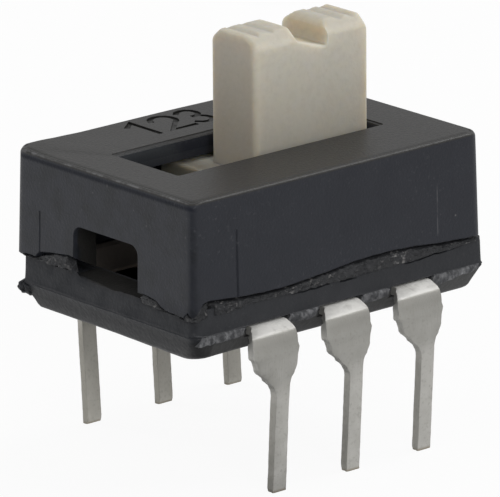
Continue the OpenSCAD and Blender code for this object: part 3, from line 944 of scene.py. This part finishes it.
# the knob's mesh lines, out from its middle: along it, close at the notch's walls and the ends, and
# across it, close at the bevels
out_along = [0, 0.08, 0.16, 0.24, 0.32, 0.4, 0.45, 0.475, 0.49, 0.505, 0.52, 0.53, 0.543, 0.55, 0.555, 0.558,
             0.562, 0.565, 0.568, 0.575, 0.585, 0.6, 0.63, 0.7, 0.76, 0.82, 0.88, 0.93, 0.98, 1.03, 1.08,
             1.135, 1.19, 1.25, 1.31, 1.38, 1.42, 1.46, 1.52, 1.58, 1.62, 1.645, 1.68, 1.72, 1.77, 1.81, 1.84,
             1.865, 1.89, 1.915, 1.935, 1.95, 1.962, 1.97, 1.975]
x_places = [-d * mm for d in reversed(out_along[1:])] + [d * mm for d in out_along]
out_across = [0, 0.2, 0.36, 0.45, 0.5, 0.535, 0.565, 0.595, 0.63, 0.68, 0.74, 0.79, 0.83, 0.86, 0.885, 0.905,
              0.918, 0.925]
y_places = [-d / 0.925 for d in reversed(out_across[1:])] + [d / 0.925 for d in out_across]


def knob_mesh():
    """The knob's moulded top, and its sides down into the carriage."""
    bm = bmesh.new()
    grid = []
    for x in x_places:
        bend = upright_round[-1 if x < 0 else 1]
        over = max(0, abs(x) - (knob_half.x - bend))
        half = knob_half.y - bend + math.sqrt(max(0, bend ** 2 - over ** 2))
        column = []
        for share in y_places:
            y = share * half
            column.append(bm.verts.new((slide_x + x, y, knob_height(x, share * knob_half.y))))
        grid.append(column)
    for a, b in zip(grid, grid[1:]):
        for j in range(len(y_places) - 1):
            bm.faces.new((a[j], b[j], b[j + 1], a[j + 1]))
    rim = [c[0] for c in grid] + grid[-1][1:] + [c[-1] for c in reversed(grid[:-1])] + grid[0][-2:0:-1]
    for drop in (10.6 * mm, 10.0 * mm, 9.0 * mm, 8.2 * mm, carriage_top - 0.1 * mm):
        lower = [bm.verts.new((v.co.x, v.co.y, drop)) for v in rim]
        band(bm, rim, lower)
        rim = lower
    bm.faces.new(rim)
    bmesh.ops.recalc_face_normals(bm, faces=bm.faces)
    return bm


def natural_nylon():
    """Undyed nylon: grey ivory that passes some light, amber deep in the notch, browner on the knob's left
    end, with painted shade lower down towards the slot, on the knob's top, under the carriage's top edge, in
    the notch floor and on the carriage's left end.
    """
    made = plastic("natural_nylon", (0.515, 0.49, 0.42), (0.585, 0.56, 0.49), (0.3, 0.27, 0.22),
                   roughness=0.5, spread=0.06, bump=0.01 * mm, grain=7.0, cloud=0.9, speck=0.05, shine=0.35)
    surface = surface_of(made)
    surface["Subsurface Weight"].default_value = 0.8
    surface["Subsurface Radius"].default_value = (1.0, 0.75, 0.45)
    surface["Subsurface Scale"].default_value = 0.8 * mm
    place = in_millimetres(made.node_tree)
    middle, crest, left_end = slide_x / mm, knob_top / mm, slide_low.x / mm
    height = node(made.node_tree, "SeparateXYZ", {0: place}).outputs["Z"]
    # painted shade: darker lower down, towards the slot
    low_shade = ranged(height, crest - 0.6, top / mm)
    # painted shade on the knob's top
    top_shade = (middle - 4, -3, crest - 0.3), (middle + 4, 3, crest + 1), 0.15, 0.5
    # browner on the knob's left end
    left_end_browner = (middle - 2.3, -0.85, 7.0), (middle - 1.8, 0.85, crest - 0.1), 0.3, 0.5
    # painted shade on the carriage below its top edge, under the housing
    shade_under_edge = (middle - 4, -3, 4), (middle + 4, 3, 7.56), 0.12, 0.8
    notch = (middle - 0.5, -0.85, crest - 0.9), (middle + 0.75, 0.75, crest - 0.03), 0.4, 0.8
    # painted shade in the notch floor
    notch_floor_shade = (middle - 0.7, -0.9, crest - 0.72), (middle + 0.52, 0.9, crest - 0.15), 0.1, 0.5
    in_shade = (left_end - 0.6, -3, 5), (left_end + 0.75, 3, 9), 0.5, 0.6
    paint_over(made, times(low_shade, 0.55), (0.36, 0.33, 0.275))
    for box, colour in ((top_shade, (0.43, 0.41, 0.35)), (left_end_browner, (0.3, 0.24, 0.18)),
                        (shade_under_edge, (0.12, 0.115, 0.085)), (notch, (0.65, 0.52, 0.3)),
                        (notch_floor_shade, (0.36, 0.33, 0.25)), (in_shade, (0.16, 0.15, 0.12))):
        paint_over(made, in_box(place, *box), colour)
    paint_over(made, times(patchy(place, 6.0, 0.45, 0.7, 5), 0.14), (0.3, 0.27, 0.23))
    return made


ivory = natural_nylon()
fit(as_object("slide_knob", knob_mesh()), "slide", "knob_nylon", ivory, "actuator", crease=40)
carriage_rings = []
for inset, height in ((0.06, 5.5), (0.0, 5.56), (0.0, 7.52), (0.02, 7.56), (0.06, 7.58), (0.1, 7.58)):
    half_l, half_w = carriage_half.x - inset * mm, carriage_half.y - inset * mm
    carriage_rings.append(ring(half_l, half_w, 0.2 * mm - inset * mm, height * mm, (slide_x, 0),
                               along=12, across=10, bend=4))
carriage = as_object("slide_carriage", skin(carriage_rings))
cut(carriage, [block("pocket_tool", (slide_x, y, 5.8 * mm), (4, 1.1, 1)) for y in (-1.55 * mm, 1.55 * mm)])
fit(carriage, "slide", "knob_nylon", ivory, "actuator", crease=40)

# ---- Contacts and detent ----
# Hidden inside: two sprung copper clips that bridge pairs of pads, and the spring with a steel ball
# at each end that clicks into the housing's walls. Their solids keep their shape.


def metal(name, dark, bright, roughness, metallic=1.0):
    """A plain metal, clouded between two close shades."""
    made, tree, surface = finish(name, Metallic=metallic)
    group = bpy.data.node_groups["moulded_skin"]
    cloud = node(tree, "Group", {"Cloud per mm": 3}, node_tree=group).outputs["Cloud"]
    feed(painted((*dark, 1), cloud, bright), surface["Base Color"])
    feed(ranged(cloud, least=roughness - 0.08, most=roughness + 0.08), surface["Roughness"])
    return made


sprung_copper = metal("sprung_copper", (0.24, 0.17, 0.13), (0.34, 0.26, 0.2), 0.4, metallic=0.4)
spring_wire = metal("spring_wire", (0.4, 0.4, 0.41), (0.6, 0.6, 0.61), 0.3)
ball_steel = metal("polished_steel", (0.5, 0.5, 0.51), (0.65, 0.65, 0.66), 0.18)
for hidden, material in (("moving_contact_1", sprung_copper), ("moving_contact_2", sprung_copper),
                         ("detent_spring", spring_wire), ("detent_ball_1", ball_steel),
                         ("detent_ball_2", ball_steel)):
    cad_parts[hidden].material_slots[0].material = material

# ---- Bench, light and camera ----
# A white table, a broad soft light at the right with two smaller ones at the left, behind and in
# front, and a long lens.
bench_mesh = bmesh.new()
bmesh.ops.create_grid(bench_mesh, x_segments=1, y_segments=1, size=1.5)
bench = as_object("bench", bench_mesh)
bench_white, tree, surface = finish("bench_white", Base_Color=(0.8, 0.8, 0.8, 1), Roughness=0.9,
                                    Specular_IOR_Level=0.1)
# the table looks white, and shows in gloss too: brightest to the left, fainter to the right, and dark
# between, where the one who works at the table sits
position = node(tree, "NewGeometry", {}).outputs["Position"]
parts = [node(tree, "VectorMath", {0: position, 1: direction}, operation="DOT_PRODUCT").outputs["Value"]
         for direction in ((-0.66, 0.75, 0), (-0.75, -0.66, 0))]
turn = ranged(maths("ARCTAN2", *parts), -math.pi, math.pi)
fade = node(tree, "ValToRGB", {"Fac": turn})
for stop, level in ((0.25, 0.53), (0.37, 0.53), (0.42, 0.0), (0.54, 0.0), (0.6, 0.95), (0.75, 0.86)):
    fade.color_ramp.elements.new(stop).color = (level, level, level, 1)
for end in (0, -1):
    fade.color_ramp.elements[end].color = (0.7, 0.7, 0.7, 1)
seen = node(tree, "LightPath", {}).outputs
direct = maths("MAXIMUM", seen["Is Camera Ray"], seen["Is Transmission Ray"])
glow = node(tree, "Emission", {"Strength": ranged(direct, least=fade.outputs["Color"])})
share = times(maths("MAXIMUM", direct, seen["Is Glossy Ray"]), 0.93)
paint = tree.nodes["Principled BSDF"].outputs["BSDF"]
blend = node(tree, "MixShader", {"Fac": share, 1: paint, 2: glow.outputs["Emission"]})
feed(blend.outputs["Shader"], tree.nodes["Material Output"].inputs["Surface"])
bench.data.materials.append(bench_white)

room = bpy.data.worlds.new("room")
bpy.context.scene.world = room
room.use_nodes = True
tree = room.node_tree
seen = node(tree, "LightPath", {}).outputs
in_gloss = times(seen["Is Glossy Ray"], 0.15)
through = maths("MAXIMUM", seen["Is Transmission Ray"], in_gloss)
every = maths("MAXIMUM", seen["Is Camera Ray"], through)
sky = tree.nodes["Background"].inputs
sky["Color"].default_value = (1, 1, 1, 1)
feed(ranged(every, least=0.5), sky["Strength"])


def soft_light(name, place, aim, size, watts):
    """A round lamp of the given size, turned towards its aim."""
    lamp = bpy.data.lights.new(name, "AREA")
    lamp.shape = "DISK"
    lamp.size = size
    lamp.energy = watts
    holder = placed(name, lamp)
    holder.location = place
    holder.rotation_euler = (Vector(aim) - Vector(place)).to_track_quat("-Z", "Y").to_euler()


soft_light("right", (0.2, -0.04, 0.25), (0, 0, 0.006), 0.22, 0.4)
soft_light("rear_left", (-0.09, 0.22, 0.2), (0, 0, 0.006), 0.1, 0.1)
soft_light("front_left", (-0.1, -0.25, 0.13), (0, 0, 0.006), 0.15, 0.26)

lens = bpy.data.cameras.new("camera")
lens.sensor_width = 36
lens.lens = 504
lens.clip_start = 0.01
camera = placed("camera", lens)
around, above, tilt = math.radians(-40.9487), math.radians(16.9987), math.radians(-0.4549)
back = Vector((math.sin(around) * math.cos(above), -math.cos(around) * math.cos(above), math.sin(above)))
right = (-back).cross(Vector((0, 0, 1))).normalized()
up = right.cross(-back)
level_right = right * math.cos(tilt) + up * math.sin(tilt)
level_up = up * math.cos(tilt) - right * math.sin(tilt)
stand = Matrix((level_right, level_up, back)).transposed().to_4x4()
stand.translation = Vector((-116.822, -134.481, 59.697)) * mm
camera.matrix_world = stand
bpy.context.scene.camera = camera
bpy.context.scene.view_settings.view_transform = "Standard"
